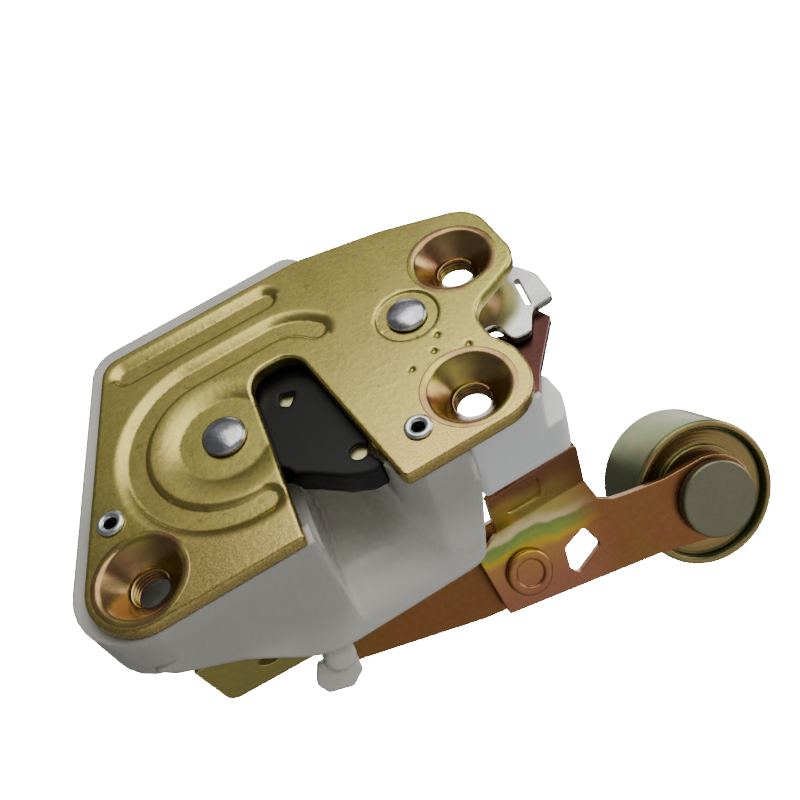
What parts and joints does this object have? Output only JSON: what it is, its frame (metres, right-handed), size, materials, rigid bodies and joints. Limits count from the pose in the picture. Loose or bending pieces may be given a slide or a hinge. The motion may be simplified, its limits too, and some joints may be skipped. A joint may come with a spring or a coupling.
{
  "type": "sliding door lock",
  "caption": "Vehicle sliding door latch: pressed slotted face plate, nylon housing, rotary claw with pawl and release lever, and a sprung roller lever behind.",
  "frame": {"origin": "centre of the three screw cones, on the face plate's outer face", "axes": "-Y out of the face plate's outer face towards the door pillar, +X along the mouth edge towards the roller, +Z away from the striker mouth"},
  "size_m": [0.1252, 0.0744, 0.0762],
  "materials": {
    "yellow_zinc": "yellow chromated zinc on pressed steel",
    "rose_zinc": "brown to rose chromated zinc",
    "olive_zinc": "pale olive chromated zinc on turned steel",
    "bright_steel": "bright riveted steel",
    "silver_zinc": "bright zinc",
    "white_nylon": "milky moulded nylon",
    "black_nylon": "black overmoulded nylon",
    "spring_steel": "oiled spring wire"
  },
  "bodies": {
    "frame": {"face_plate": "yellow_zinc", "housing": "white_nylon", "back_plate": "rose_zinc", "claw_pivot": "bright_steel", "pawl_pivot": "bright_steel", "tubular_rivet_left": "silver_zinc", "tubular_rivet_right": "silver_zinc", "claw_spring": "spring_steel", "pawl_spring": "spring_steel", "lever_spring": "spring_steel", "lever_guide": "white_nylon", "carrier_plate": "rose_zinc", "corner_bracket": "yellow_zinc", "lever_pivot": "rose_zinc"},
    "claw": {"claw_core": "yellow_zinc", "claw_cover": "black_nylon"},
    "pawl_and_release": {"pawl": "yellow_zinc", "release_lever": "silver_zinc"},
    "roller_lever": {"roller_lever": "rose_zinc", "roller_pin": "bright_steel"},
    "roller": {"roller": "olive_zinc", "roller_bush": "bright_steel"},
    "rod_clip": {"rod_clip": "white_nylon"}
  },
  "joints": [
    {"name": "claw_turn", "type": "hinge", "parent": "frame", "child": "claw", "pos_m": [-0.0229, 0.0066, 0.008], "axis": [0, -1, 0], "range_deg": [0, 72], "stiffness_Nm_per_rad": 0.05, "springref_deg": -34.38},
    {"name": "pawl_turn", "type": "hinge", "parent": "frame", "child": "pawl_and_release", "pos_m": [0.0153, 0.0066, 0.0115], "axis": [0, 1, 0], "range_deg": [0, 14], "stiffness_Nm_per_rad": 0.05, "springref_deg": -34.38},
    {"name": "roller_lever_turn", "type": "hinge", "parent": "frame", "child": "roller_lever", "pos_m": [0.0134, 0.04428, -0.02107], "axis": [0, 0.6293, 0.7771], "range_deg": [0, 12], "stiffness_Nm_per_rad": 0.3, "springref_deg": -28.65},
    {"name": "roller_spin", "type": "hinge", "parent": "roller_lever", "child": "roller", "pos_m": [0.0531, 0.05653, -0.01722], "axis": [0, 0.6293, 0.7771], "continuous": true},
    {"name": "clip_swivel", "type": "hinge", "parent": "frame", "child": "rod_clip", "pos_m": [-0.0253, 0.04256, -0.01556], "axis": [0, 0.6293, 0.7771], "range_deg": [-20, 20]}
  ]
}
